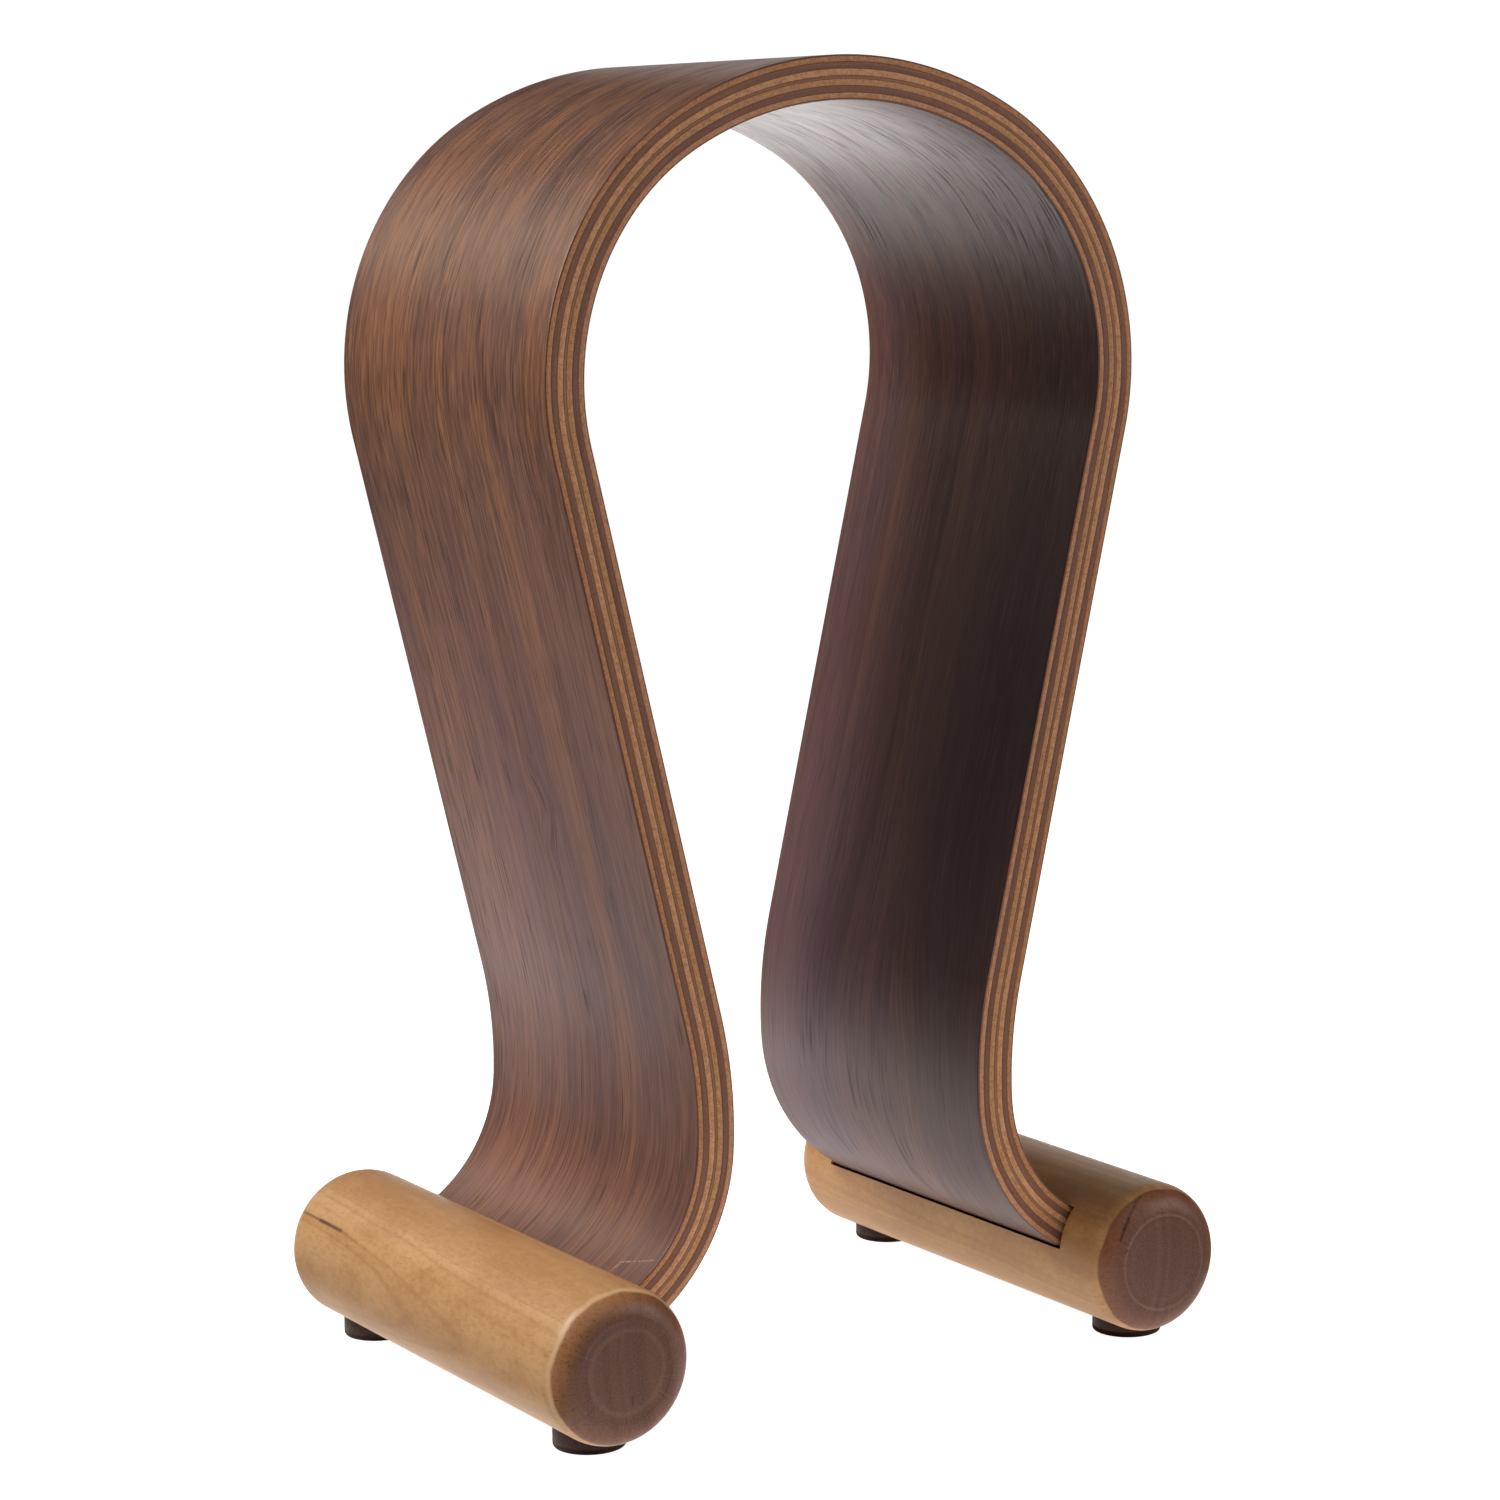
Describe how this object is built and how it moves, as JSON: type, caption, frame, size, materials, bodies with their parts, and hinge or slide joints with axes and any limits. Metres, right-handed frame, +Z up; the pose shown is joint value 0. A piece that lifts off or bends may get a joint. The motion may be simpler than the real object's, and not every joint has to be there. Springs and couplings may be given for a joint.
{
  "type": "headphone stand",
  "caption": "Omega-shaped bent plywood headphone stand: a walnut-faced arch whose ends are let into two round wooden foot bars on felt pads.",
  "frame": {"origin": "on the ground, at the centre of the footprint, midway between the two foot bars", "axes": "+Z up to the crown, +X to the right seen from the front, front faces -Y; the foot bars run along Y"},
  "size_m": [0.156, 0.112, 0.2566],
  "materials": {
    "walnut_veneer": "satin oiled walnut face veneer, grain along the band",
    "light_ply": "sanded light cross-grain ply",
    "dark_ply": "sanded dark ply",
    "centre_ply": "sanded mid-brown ply",
    "foot_wood": "satin lacquered pale dowel, grain along its length, browner end grain",
    "pad_felt": "dense dark brown felt",
    "pad_adhesive": "matte double-sided adhesive disc"
  },
  "bodies": {
    "root": {"outer_face_veneer": "walnut_veneer", "ply_2_light": "light_ply", "ply_3_dark": "dark_ply", "ply_4_light": "light_ply", "ply_5_centre": "centre_ply", "ply_6_light": "light_ply", "ply_7_dark": "dark_ply", "ply_8_light": "light_ply", "inner_face_veneer": "walnut_veneer", "left_foot_bar": "foot_wood", "right_foot_bar": "foot_wood", "front_left_pad": "pad_felt", "front_right_pad": "pad_felt", "back_left_pad": "pad_felt", "back_right_pad": "pad_felt", "front_left_pad_adhesive": "pad_adhesive", "front_right_pad_adhesive": "pad_adhesive", "back_left_pad_adhesive": "pad_adhesive", "back_right_pad_adhesive": "pad_adhesive"}
  },
  "joints": []
}
